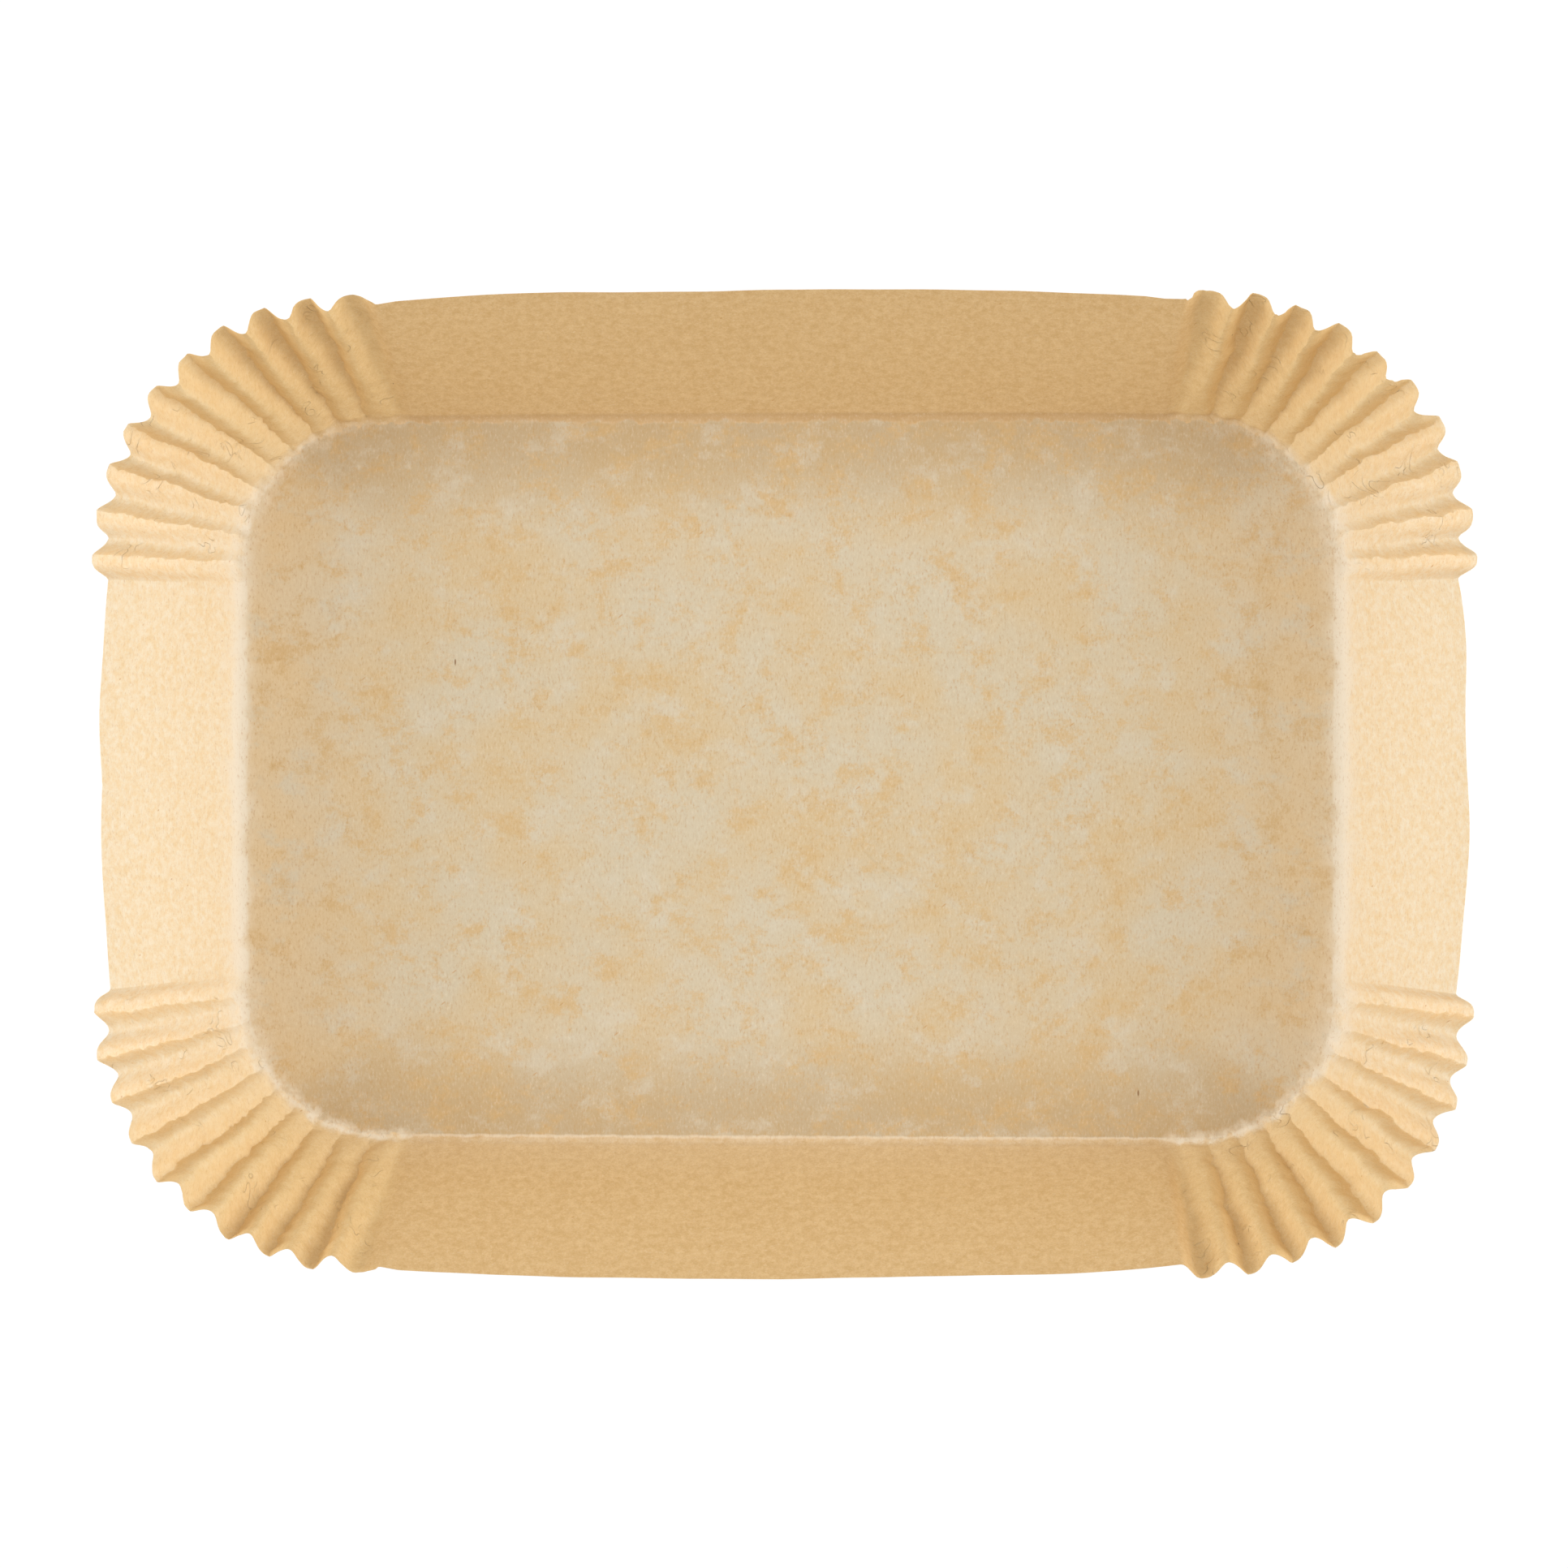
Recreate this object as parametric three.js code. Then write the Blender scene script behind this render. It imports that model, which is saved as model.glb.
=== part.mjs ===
// Air fryer paper liner: a shallow rectangular tray pressed from one sheet of unbleached
// greaseproof paper. The floor is flat with round corners, four walls flare outwards from
// it, and the spare paper at each corner is gathered into flutes that open towards the rim.
// Millimetres, +Z up. The origin is on the resting plane, under the middle of the floor.
// X runs along the length of the tray and Y across it.

import * as THREE from 'three';

// Paper
const PAPER_THICKNESS = 0.06;

// Floor, measured between the creases
const FLOOR_LENGTH = 220;
const FLOOR_WIDTH = 144.5;
const FLOOR_CORNER_RADIUS = 28;

// Walls
const WALL_SLANT = 45; // paper from the crease to the rim
const WALL_LEAN = 27; // degrees from upright
const SHORT_WALL_BEND = 3; // radius of the soft crease under the short walls
const LONG_WALL_BEND = 1.5; // radius of the sharper crease under the long walls
const SHORT_WALL_BOW = 1.3; // how far the rim bulges outwards, halfway along a wall
const LONG_WALL_BOW = 2;

// Flutes at each corner
const CRESTS_PER_CORNER = 10;
const CREST_HEIGHT = 2; // outwards from the wall, at the rim
const VALLEY_DEPTH = 1.6; // inwards from the wall, at the rim
const GENTLE_FLANK_SHARE = 0.6; // of one flute, on the side nearer the short wall
const FLUTE_RUN_OUT = 4.5; // from the end crests to the plain walls
const FLUTE_GROWTH = 0.7; // power of the distance up the wall: flutes open early
const FLUTE_FOOT_SHIFT = 3; // foot of the last flute, further along the long wall
const STRAIGHT_FLUTES_UP_TO = 40; // degrees round the corner where that shift starts

// Fineness of the surface
const BEND_ROWS = 2;
const WALL_ROWS = 4;
const ROW_CROWDING = 1.4; // rows lie closer together near the crease
const STEPS_PER_FLANK = 4;
const SHORT_WALL_STEPS = 4;
const LONG_WALL_STEPS = 5;

const KRAFT_COLOUR = '#dcb988';
const KRAFT_ROUGHNESS = 0.85;

const QUARTER_TURN = Math.PI / 2;
const LEAN = THREE.MathUtils.degToRad(WALL_LEAN);
const BEND_ANGLE = QUARTER_TURN - LEAN;

// Corner centre of the floor outline, and the length of its quarter circle
const CORNER_X = FLOOR_LENGTH / 2 - FLOOR_CORNER_RADIUS;
const CORNER_Y = FLOOR_WIDTH / 2 - FLOOR_CORNER_RADIUS;
const ARC_LENGTH = FLOOR_CORNER_RADIUS * QUARTER_TURN;

// Direction that the wall faces, as an angle from +X, at a distance along the floor's edge
// from the middle of the short wall.
function facingAt( along ) {

	const turned = ( along - CORNER_Y ) / FLOOR_CORNER_RADIUS;
	return THREE.MathUtils.clamp( turned, 0, QUARTER_TURN );

}

// Point on the floor's outline grown outwards by an offset, at a distance along its edge.
function outlinePoint( along, offset ) {

	const facing = facingAt( along );
	const radius = FLOOR_CORNER_RADIUS + offset;
	const beforeArc = Math.min( along - CORNER_Y, 0 );
	const afterArc = Math.max( along - CORNER_Y - ARC_LENGTH, 0 );
	return new THREE.Vector2(
		CORNER_X + radius * Math.cos( facing ) - afterArc,
		CORNER_Y + radius * Math.sin( facing ) + beforeArc,
	);

}

// The crease is softer under the short walls than under the long ones.
function bendRadiusAt( along ) {

	const towardsLongWall = Math.sin( facingAt( along ) ) ** 2;
	return THREE.MathUtils.lerp( SHORT_WALL_BEND, LONG_WALL_BEND, towardsLongWall );

}

// Section of the wall: how far out and up the paper is at a distance from the crease.
function wallSection( bendRadius, distance ) {

	const bent = Math.min( distance / bendRadius, BEND_ANGLE );
	const straight = distance - bent * bendRadius;
	return {
		run: bendRadius * Math.sin( bent ) + straight * Math.sin( LEAN ),
		rise: bendRadius * ( 1 - Math.cos( bent ) ) + straight * Math.cos( LEAN ),
	};

}

// Smooth step from 1 down to 0 as share goes from 0 to 1.
function fade( share ) {

	return ( 1 + Math.cos( Math.PI * THREE.MathUtils.clamp( share, 0, 1 ) ) ) / 2;

}

// How far a flute pushes the rim outwards, from crest (0) to valley (1) of one flank.
function flankPush( share ) {

	return THREE.MathUtils.lerp( - VALLEY_DEPTH, CREST_HEIGHT, fade( share ) );

}

// How far along the long wall the foot of a flute lies from where its top is.
function footShift( along ) {

	const degrees = THREE.MathUtils.radToDeg( facingAt( along ) );
	const round = Math.max( degrees - STRAIGHT_FLUTES_UP_TO, 0 ) / ( 90 - STRAIGHT_FLUTES_UP_TO );
	const afterArc = Math.max( along - CORNER_Y - ARC_LENGTH, 0 );
	const leftOfWall = 1 - afterArc / CORNER_X;
	return FLUTE_FOOT_SHIFT * ( round * leftOfWall ) ** 2;

}

// One upright line of the wall: where it starts on the floor, where it ends at the rim,
// which way it faces, and how far the rim is pushed out there.
function makeStation( along, push ) {

	const facing = facingAt( along );
	const bendRadius = bendRadiusAt( along );
	const rimRun = wallSection( bendRadius, WALL_SLANT ).run;
	return {
		foot: outlinePoint( along + footShift( along ), 0 ),
		top: outlinePoint( along, rimRun ),
		outward: new THREE.Vector2( Math.cos( facing ), Math.sin( facing ) ),
		bendRadius,
		rimRun,
		push,
	};

}

// Plain half of a wall, from its middle (share 0) to where the flutes begin (share 1).
function bowPush( bow, distanceFromMiddle, halfWall ) {

	return bow * fade( distanceFromMiddle / halfWall );

}

// Stations of one quarter, from the middle of the short wall to that of the long wall.
function quarterStations() {

	const stations = [];
	const shortPlain = CORNER_Y - FLUTE_RUN_OUT;
	for ( let i = 0; i < SHORT_WALL_STEPS; i ++ ) {

		const along = shortPlain * i / SHORT_WALL_STEPS;
		stations.push( makeStation( along, bowPush( SHORT_WALL_BOW, along, shortPlain ) ) );

	}

	const runOutSteps = STEPS_PER_FLANK;
	for ( let i = 0; i < runOutSteps; i ++ ) {

		const share = i / runOutSteps;
		const along = shortPlain + FLUTE_RUN_OUT * share;
		stations.push( makeStation( along, CREST_HEIGHT * fade( 1 - share ) ) );

	}

	const pitch = ARC_LENGTH / ( CRESTS_PER_CORNER - 1 );
	const steepLength = pitch * ( 1 - GENTLE_FLANK_SHARE );
	for ( let crest = 0; crest < CRESTS_PER_CORNER - 1; crest ++ ) {

		const start = CORNER_Y + crest * pitch;
		for ( let i = 0; i < STEPS_PER_FLANK; i ++ ) {

			const share = i / STEPS_PER_FLANK;
			stations.push( makeStation( start + steepLength * share, flankPush( share ) ) );

		}

		for ( let i = 0; i < STEPS_PER_FLANK; i ++ ) {

			const share = i / STEPS_PER_FLANK;
			const along = start + steepLength + ( pitch - steepLength ) * share;
			stations.push( makeStation( along, flankPush( 1 - share ) ) );

		}

	}

	const arcEnd = CORNER_Y + ARC_LENGTH;
	for ( let i = 0; i < runOutSteps; i ++ ) {

		const share = i / runOutSteps;
		const along = arcEnd + FLUTE_RUN_OUT * share;
		stations.push( makeStation( along, CREST_HEIGHT * fade( share ) ) );

	}

	const longPlain = CORNER_X - FLUTE_RUN_OUT;
	for ( let i = 0; i <= LONG_WALL_STEPS; i ++ ) {

		const fromMiddle = longPlain * ( 1 - i / LONG_WALL_STEPS );
		const push = bowPush( LONG_WALL_BOW, fromMiddle, longPlain );
		stations.push( makeStation( arcEnd + CORNER_X - fromMiddle, push ) );

	}

	return stations;

}

// The same station in another quarter of the tray.
function reflected( station, signX, signY ) {

	const sign = new THREE.Vector2( signX, signY );
	return {
		...station,
		foot: station.foot.clone().multiply( sign ),
		top: station.top.clone().multiply( sign ),
		outward: station.outward.clone().multiply( sign ),
	};

}

// All stations, anticlockwise from the middle of the short wall at +X.
function allStations() {

	const quarter = quarterStations();
	const forwards = quarter.slice( 0, - 1 );
	const backwards = quarter.slice( 1 ).reverse();
	return [
		...forwards.map( ( station ) => reflected( station, 1, 1 ) ),
		...backwards.map( ( station ) => reflected( station, - 1, 1 ) ),
		...forwards.map( ( station ) => reflected( station, - 1, - 1 ) ),
		...backwards.map( ( station ) => reflected( station, 1, - 1 ) ),
	];

}

// Point of the paper's middle layer on one station's line. The first rows follow the
// crease, and the rest climb the wall, where the flutes open out.
function paperPoint( station, row ) {

	const bendLength = station.bendRadius * BEND_ANGLE;
	const upWall = Math.max( row - BEND_ROWS, 0 ) / WALL_ROWS;
	const wallShare = upWall ** ROW_CROWDING;
	const distance = row <= BEND_ROWS
		? bendLength * row / BEND_ROWS
		: bendLength + ( WALL_SLANT - bendLength ) * wallShare;
	const { run, rise } = wallSection( station.bendRadius, distance );
	const spot = station.foot.clone().lerp( station.top, run / station.rimRun );
	const push = station.push * wallShare ** FLUTE_GROWTH;
	spot.addScaledVector( station.outward, push * Math.cos( LEAN ) );
	return new THREE.Vector3( spot.x, spot.y, rise - push * Math.sin( LEAN ) );

}

// Two triangles for each cell between neighbouring stations and rows, facing inwards.
function bandFaces( stationCount, rowCount ) {

	const faces = [];
	for ( let row = 0; row < rowCount - 1; row ++ ) {

		for ( let i = 0; i < stationCount; i ++ ) {

			const next = ( i + 1 ) % stationCount;
			const low = row * stationCount;
			const high = low + stationCount;
			faces.push( [ low + i, high + i, high + next ] );
			faces.push( [ low + i, high + next, low + next ] );

		}

	}

	return faces;

}

// Directions square to the paper, pointing to the inside of the tray. Along the floor's
// edge they point straight up, so that the floor stays flat.
function paperNormals( points, faces, stationCount ) {

	const band = new THREE.BufferGeometry().setFromPoints( points );
	band.setIndex( faces.flat() );
	band.computeVertexNormals();
	const normals = band.getAttribute( 'normal' );
	return points.map( ( point, i ) => i < stationCount
		? new THREE.Vector3( 0, 0, 1 )
		: new THREE.Vector3().fromBufferAttribute( normals, i ) );

}

// The closed sheet: inner face, outer face, and the cut edge of the rim between them.
function makeSheetGeometry() {

	const stations = allStations();
	const rowCount = 1 + BEND_ROWS + WALL_ROWS;
	const count = stations.length;
	const middle = [];
	for ( let row = 0; row < rowCount; row ++ ) {

		middle.push( ...stations.map( ( station ) => paperPoint( station, row ) ) );

	}

	const band = bandFaces( count, rowCount );
	const normals = paperNormals( middle, band, count );
	const half = PAPER_THICKNESS / 2;
	const lift = new THREE.Vector3( 0, 0, half );
	const offsetBy = ( amount ) => middle.map( ( point, i ) =>
		point.clone().addScaledVector( normals[ i ], amount ).add( lift ) );
	const inner = offsetBy( half );
	const outer = offsetBy( - half );

	const outline = middle.slice( 0, count ).map( ( point ) => new THREE.Vector2( point.x, point.y ) );
	const floor = THREE.ShapeUtils.triangulateShape( outline, [] );
	const insideFaces = [ ...floor, ...band ];
	const outsideStart = middle.length;
	const outsideFaces = insideFaces.map( ( [ a, b, c ] ) =>
		[ outsideStart + a, outsideStart + c, outsideStart + b ] );
	const rimStart = count * ( rowCount - 1 );
	const rimFaces = stations.flatMap( ( station, i ) => {

		const inside = rimStart + i;
		const insideNext = rimStart + ( i + 1 ) % count;
		return [
			[ inside, outsideStart + inside, outsideStart + insideNext ],
			[ inside, outsideStart + insideNext, insideNext ],
		];

	} );

	const geometry = new THREE.BufferGeometry().setFromPoints( [ ...inner, ...outer ] );
	geometry.setIndex( [ ...insideFaces, ...outsideFaces, ...rimFaces ].flat() );
	geometry.computeVertexNormals();
	return geometry;

}

const kraftPaper = new THREE.MeshStandardMaterial( {
	color: KRAFT_COLOUR,
	roughness: KRAFT_ROUGHNESS,
	metalness: 0,
} );

const sheet = new THREE.Mesh( makeSheetGeometry(), kraftPaper );
sheet.name = 'liner_sheet';

const liner = new THREE.Group();
liner.add( sheet );

export default liner;
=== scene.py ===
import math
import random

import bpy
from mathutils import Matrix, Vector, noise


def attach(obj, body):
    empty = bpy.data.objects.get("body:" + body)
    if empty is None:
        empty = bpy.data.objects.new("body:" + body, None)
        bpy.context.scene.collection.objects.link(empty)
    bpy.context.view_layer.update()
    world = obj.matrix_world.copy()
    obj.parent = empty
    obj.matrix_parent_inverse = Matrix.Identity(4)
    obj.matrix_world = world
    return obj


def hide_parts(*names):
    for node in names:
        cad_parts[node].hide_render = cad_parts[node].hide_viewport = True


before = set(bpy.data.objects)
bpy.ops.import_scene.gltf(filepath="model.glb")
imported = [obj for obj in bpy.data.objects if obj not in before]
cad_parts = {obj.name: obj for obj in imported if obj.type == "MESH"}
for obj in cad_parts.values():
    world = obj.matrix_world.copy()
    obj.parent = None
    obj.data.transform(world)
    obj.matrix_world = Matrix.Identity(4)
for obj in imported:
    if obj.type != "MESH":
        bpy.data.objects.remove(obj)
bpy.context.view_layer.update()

# %% [markdown]
# # An air fryer liner pressed from one sheet of paper
# The liner is a flat floor, four flared walls and fluted corners, all of one thin sheet of
# unbleached greaseproof paper. A sheet this thin has no bulk to carve, so a primitive is the
# wrong start. It is made here as a tailor would cut and press it: upright lines are laid out
# all the way round the tray, rows run across them, and the cells between become the paper.

MM = 0.001

# %% [markdown]
# ## The sizes of the tray
# Everything is worked out from the sizes that a maker would give: the floor between its
# creases, the paper in the wall, and how far the wall leans out. They are the sizes of the
# part itself, so the fine sheet lies where the plain one does.

# %% Sizes of the sheet
PAPER_THICKNESS = 0.06 * MM
FLOOR_LENGTH = 220 * MM
FLOOR_WIDTH = 144.5 * MM
FLOOR_CORNER_RADIUS = 28 * MM
WALL_SLANT = 45 * MM
LEAN = math.radians(27)
SHORT_WALL_BEND = 3 * MM
LONG_WALL_BEND = 1.5 * MM
LONG_WALL_BOW = 2.4 * MM        # halfway along, where its rim stands out most
SHORT_WALL_DIP = 1.8 * MM       # beside the flutes, where its rim is drawn in

QUARTER_TURN = math.pi / 2
BEND_ANGLE = QUARTER_TURN - LEAN
CORNER_X = FLOOR_LENGTH / 2 - FLOOR_CORNER_RADIUS
CORNER_Y = FLOOR_WIDTH / 2 - FLOOR_CORNER_RADIUS
ARC_LENGTH = FLOOR_CORNER_RADIUS * QUARTER_TURN
ARC_END = CORNER_Y + ARC_LENGTH

# %% [markdown]
# ## Finding a place on the sheet
# A place on the wall needs two numbers: how far along the edge of the floor it is, counted
# from the middle of a short wall, and how far up the paper it is from the crease. One quarter
# of the tray is enough, because the other three are its mirror images.

# %% Along the edge of the floor
def mix(low, high, share):
    return low + (high - low) * share


def clamp(value, low=0.0, high=1.0):
    return max(low, min(high, value))


def fade(share):
    """Falls smoothly from 1 to 0 as share goes from 0 to 1."""
    return (1 + math.cos(math.pi * clamp(share))) / 2


def facing_at(along):
    """The way the wall faces, as an angle from +X."""
    return clamp((along - CORNER_Y) / FLOOR_CORNER_RADIUS, 0, QUARTER_TURN)


def outline_point(along, offset):
    facing = facing_at(along)
    radius = FLOOR_CORNER_RADIUS + offset
    return Vector((
        CORNER_X + radius * math.cos(facing) - max(along - ARC_END, 0),
        CORNER_Y + radius * math.sin(facing) + min(along - CORNER_Y, 0),
    ))


# %% Up the wall
def bend_radius_at(along):
    return mix(SHORT_WALL_BEND, LONG_WALL_BEND, math.sin(facing_at(along)) ** 2)


def wall_section(bend_radius, distance):
    """How far out and how far up the paper is, at a distance from the crease."""
    bent = min(distance / bend_radius, BEND_ANGLE)
    straight = distance - bent * bend_radius
    run = bend_radius * math.sin(bent) + straight * math.sin(LEAN)
    rise = bend_radius * (1 - math.cos(bent)) + straight * math.cos(LEAN)
    return run, rise


print("height of the long walls in mm:", round(wall_section(LONG_WALL_BEND, WALL_SLANT)[1] / MM, 1))

# %% [markdown]
# ## Four corners pressed by one tool, none of them alike
# The press folds ten crests into each corner. A real sheet slips and springs as it does so:
# some crests stand higher, a few feet wander along the crease, and the corners differ in how
# broad their crests are at the rim. Each corner gets its own small set of such slips here,
# drawn from a seeded list so that every run makes the same tray.

# %% What each corner's flutes are like
CRESTS_PER_CORNER = 10
CREST_HEIGHT = 2 * MM
CREST_RANGE = (0.95, 1.2)       # how high the crests of a corner are, as shares of that
VALLEY_DEPTH = 1.5 * MM
VALLEY_RANGE = (0.85, 1.12)
CREST_SLIP = 0.22 * MM
GENTLE_FLANK_SHARE = 0.6        # of a flute's width
FLUTE_RUN_OUT = 4.5 * MM        # of the end crests on the plain walls
FLUTE_GROWTH = 0.6              # below 1 a flute opens quickly above the crease
FLUTE_FOOT_SHIFT = 3 * MM
STRAIGHT_FLUTES_UP_TO = math.radians(40)
FOLD_POWER = 0.55               # below 1 a crest is a sharp fold between broad valleys
STEEP_RIM_POWER = 0.68          # the same for the steep flanks, at the rim
SHARPNESS_REACH = 1.5           # above 1 the folds stay sharp further up the wall
UNEVEN_CREST = 0.3              # how much a crest's height changes on its way up
CREST_STEP = 5.3                # keeps the noise of one crest apart from that of the next
HUMPS_UP_WALL = 6
PITCH = ARC_LENGTH / (CRESTS_PER_CORNER - 1)

# %% How far a fold strays from its line
SLIP_AT_FOOT = 0.4      # share of its slip that it already has at the crease
LONG_BENDS = 0.6 * MM
KINKS = 0.7 * MM
NIPS = 0.5 * MM
LONG_BENDS_UP_WALL = 5.5
KINKS_UP_WALL = 14
NIPS_UP_WALL = 27
FOLD_STEP = 3.7         # keeps the noise of one fold apart from that of the next

# %% One fluted corner
random.seed(22)


class Corner:
    """One fluted corner: which quarter it is in, and how its folds came out."""

    def __init__(self, name, sign, rim_power, short_wall, long_wall, whiteness):
        self.name = name
        self.sign = Vector(sign)
        self.rim_power = rim_power      # above 1 its crests are broad at the rim
        self.short_bow, self.short_wave = short_wall    # its bow halfway along, a wave beside it
        self.long_end, self.long_sag = long_wall        # its bow at the flutes, a sag beyond them
        self.whiteness = whiteness      # of the crease: short wall, corner, long wall
        self.crests = [random.uniform(*CREST_RANGE) for _ in range(CRESTS_PER_CORNER)]
        self.valleys = [random.uniform(*VALLEY_RANGE) for _ in range(CRESTS_PER_CORNER)]
        self.slips = [random.uniform(-1, 1) * CREST_SLIP for _ in range(CRESTS_PER_CORNER)]
        self.seed = random.uniform(0, 100)

    def fold_line(self, crest, up):
        """How far a fold has wandered sideways at a share of the way up the wall."""
        place = self.seed + crest * FOLD_STEP
        stray = LONG_BENDS * noise.noise(Vector((place, up * LONG_BENDS_UP_WALL, 0.5)))
        stray += KINKS * abs(noise.noise(Vector((place, up * KINKS_UP_WALL, 7.5))))
        stray += NIPS * noise.noise(Vector((place, up * NIPS_UP_WALL, 4.5)))
        return self.slips[crest] * mix(SLIP_AT_FOOT, 1, up) + stray


# %% The four corners, each with how its two walls stand
corners = [
    Corner("back_right", sign=(1, 1), rim_power=2.6, short_wall=(0.6 * MM, 0.45 * MM),
           long_wall=(-0.2 * MM, 0), whiteness=(1.0, 0.8, 0.15)),
    Corner("back_left", sign=(-1, 1), rim_power=2.1, short_wall=(0.1 * MM, -0.35 * MM),
           long_wall=(-0.1 * MM, 0.4 * MM), whiteness=(0.85, 0.8, 0.2)),
    Corner("front_left", sign=(-1, -1), rim_power=1.45, short_wall=(0.1 * MM, -0.4 * MM),
           long_wall=(1.1 * MM, 0), whiteness=(0.9, 0.85, 0.85)),
    Corner("front_right", sign=(1, -1), rim_power=1.5, short_wall=(0.6 * MM, -0.4 * MM),
           long_wall=(-1.1 * MM, 0.6 * MM), whiteness=(0.95, 0.8, 0.85)),
]
print("corners:", [corner.name for corner in corners])

# %% [markdown]
# ## The upright lines
# Every line knows where it starts, how far the flute pushes it out at the rim, and between
# which two folds it lies. Lines are close together where the paper is fluted, about half a
# millimetre at the rim, and far apart on the plain walls.

# %% One upright line
STEPS_PER_FLANK = 9
SHORT_WALL_STEPS = 14
LONG_WALL_STEPS = 22


class Line:
    """An upright line of paper from the floor to the rim, in one quarter of the tray."""

    def __init__(self, corner, along, crest=0, between=0.0, flank=None, run_out=0.0, bow=0.0):
        self.corner = corner
        self.along = along
        self.crest = crest          # the fold before this line
        self.between = between      # share of the way to the next fold
        self.flank = flank          # share of the way from a crest down to a valley
        self.top_crest = crest      # the crest that this line's flank climbs to
        self.run_out = run_out      # how much of an end crest reaches out on the plain wall
        self.bow = bow
        self.facing = facing_at(along)
        self.outward = Vector((math.cos(self.facing), math.sin(self.facing)))
        self.bend_radius = bend_radius_at(along)
        self.rim_run = wall_section(self.bend_radius, WALL_SLANT)[0]
        self.foot = outline_point(along + self.foot_shift(), 0)
        self.top = outline_point(along, self.rim_run)

    def foot_shift(self):
        """The last flutes lean: their feet lie further along the long wall."""
        span = QUARTER_TURN - STRAIGHT_FLUTES_UP_TO
        past_straight_ones = max(self.facing - STRAIGHT_FLUTES_UP_TO, 0) / span
        short_of_middle = 1 - max(self.along - ARC_END, 0) / CORNER_X
        return FLUTE_FOOT_SHIFT * (past_straight_ones * short_of_middle) ** 2

    def push(self, up):
        """How far the paper stands out of the plain wall, at a share of the way to the rim."""
        growth = up ** FLUTE_GROWTH
        crest = CREST_HEIGHT * self.corner.crests[self.top_crest]
        if self.flank is None:
            return mix(self.bow, crest, self.run_out) * growth
        rim_power = self.corner.rim_power if self.top_crest > self.crest else STEEP_RIM_POWER
        power = mix(FOLD_POWER, rim_power, up ** SHARPNESS_REACH)
        spot = Vector((self.corner.seed, self.top_crest * CREST_STEP, up * HUMPS_UP_WALL))
        crest *= 1 + UNEVEN_CREST * noise.noise(spot)
        valley = VALLEY_DEPTH * self.corner.valleys[self.crest]
        return mix(-valley, crest, fade(self.flank ** power)) * growth

    def drift(self, up):
        """How far the line is carried sideways by the folds on either side."""
        if self.flank is None:
            return self.corner.fold_line(self.crest, up) * self.run_out
        before = self.corner.fold_line(self.crest, up)
        after = self.corner.fold_line(self.crest + 1, up)
        return mix(before, after, self.between)


# %% [markdown]
# A quarter is laid out from the middle of a short wall, over the ten crests, to the middle
# of a long wall. The flank on the side of the long wall is the steep one, so it gets the
# smaller share of each flute.

# %% The short wall of a quarter
BOW_FULLNESS = 3.5      # the higher, the closer to its end a wall stays fully bowed
RUN_OUT_REACH = 2.2     # the higher, the further an end crest reaches out at its full height


def bowed(share, middle, end):
    """A bow that stays near its full height until close to the end of the wall."""
    return mix(end, middle, 1 - share ** BOW_FULLNESS)


def plain_short_wall(corner):
    plain = CORNER_Y - FLUTE_RUN_OUT
    for i in range(SHORT_WALL_STEPS):
        share = i / SHORT_WALL_STEPS
        bow = bowed(share, corner.short_bow, -SHORT_WALL_DIP)
        bow -= corner.short_wave * math.sin(2 * math.pi * share)
        yield Line(corner, plain * share, bow=bow)


def short_run_out(corner):
    for i in range(STEPS_PER_FLANK):
        share = i / STEPS_PER_FLANK
        along = CORNER_Y - FLUTE_RUN_OUT * (1 - share)
        run_out = fade((1 - share) ** RUN_OUT_REACH)
        yield Line(corner, along, run_out=run_out, bow=-SHORT_WALL_DIP)


# %% The flutes and the long wall of a quarter
def one_flute(corner, crest):
    start = CORNER_Y + crest * PITCH
    steep = 1 - GENTLE_FLANK_SHARE
    for i in range(STEPS_PER_FLANK):
        share = i / STEPS_PER_FLANK
        between = steep * share
        yield Line(corner, start + PITCH * between, crest, between, flank=share)
    for i in range(STEPS_PER_FLANK):
        share = i / STEPS_PER_FLANK
        between = mix(steep, 1, share)
        line = Line(corner, start + PITCH * between, crest, between, flank=1 - share)
        line.top_crest = crest + 1
        yield line


def long_run_out(corner):
    for i in range(STEPS_PER_FLANK):
        share = i / STEPS_PER_FLANK
        along = ARC_END + FLUTE_RUN_OUT * share
        yield Line(corner, along, CRESTS_PER_CORNER - 1, run_out=fade(share), bow=corner.long_end)


def plain_long_wall(corner):
    plain = CORNER_X - FLUTE_RUN_OUT
    for i in range(LONG_WALL_STEPS + 1):
        share = 1 - i / LONG_WALL_STEPS
        along = ARC_END + CORNER_X - plain * share
        bow = bowed(share, LONG_WALL_BOW, corner.long_end)
        bow -= corner.long_sag * math.sin(math.pi * share)
        yield Line(corner, along, CRESTS_PER_CORNER - 1, bow=bow)


def quarter_lines(corner):
    lines = [*plain_short_wall(corner), *short_run_out(corner)]
    for crest in range(CRESTS_PER_CORNER - 1):
        lines += one_flute(corner, crest)
    return [*lines, *long_run_out(corner), *plain_long_wall(corner)]


def all_lines():
    """Anticlockwise from the middle of the right wall; every other quarter runs backwards."""
    right, left = quarter_lines(corners[0]), quarter_lines(corners[1])
    front_left, front_right = quarter_lines(corners[2]), quarter_lines(corners[3])
    return [*right[:-1], *left[:0:-1], *front_left[:-1], *front_right[:0:-1]]


lines = all_lines()
print("upright lines:", len(lines))

# %% [markdown]
# ## The rows
# Rows on the floor are shrunken copies of its outline, down to a small patch in the middle.
# The rows of the bend are close together, and those of the wall spread out towards the rim.
# A row is a kind and a share, so that one function can place any point of the sheet.

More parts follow.
